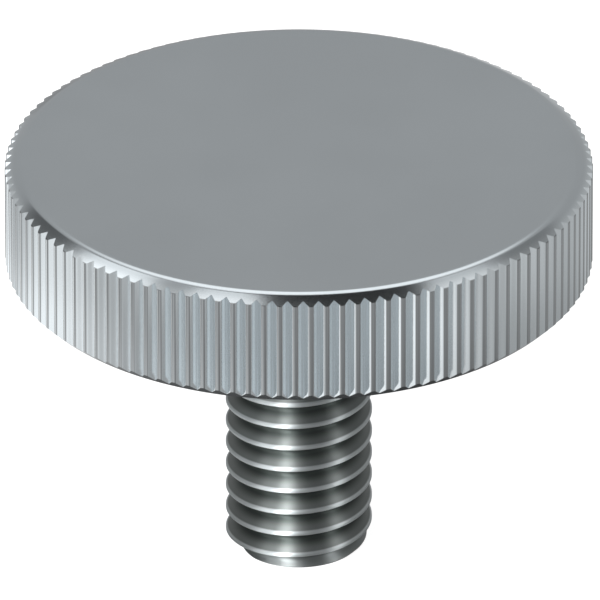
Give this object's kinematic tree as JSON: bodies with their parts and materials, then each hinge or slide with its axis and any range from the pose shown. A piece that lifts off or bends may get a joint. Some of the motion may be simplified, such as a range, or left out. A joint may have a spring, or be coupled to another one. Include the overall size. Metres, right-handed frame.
{
  "type": "thumb screw",
  "caption": "Flat thumb screw with a wide disc head, straight-knurled round its rim for finger tightening, and a metric threaded shank below it.",
  "frame": {"origin": "centre of the head's underside, where the head bears on the piece it clamps", "axes": "+Z along the screw's axis from the seat through the head; the thread hangs along -Z"},
  "size_m": [0.024, 0.024, 0.0176],
  "materials": {
    "plated_steel": "bright turned steel, thinly plated"
  },
  "bodies": {
    "root": {"thumb_screw": "plated_steel"}
  },
  "joints": []
}
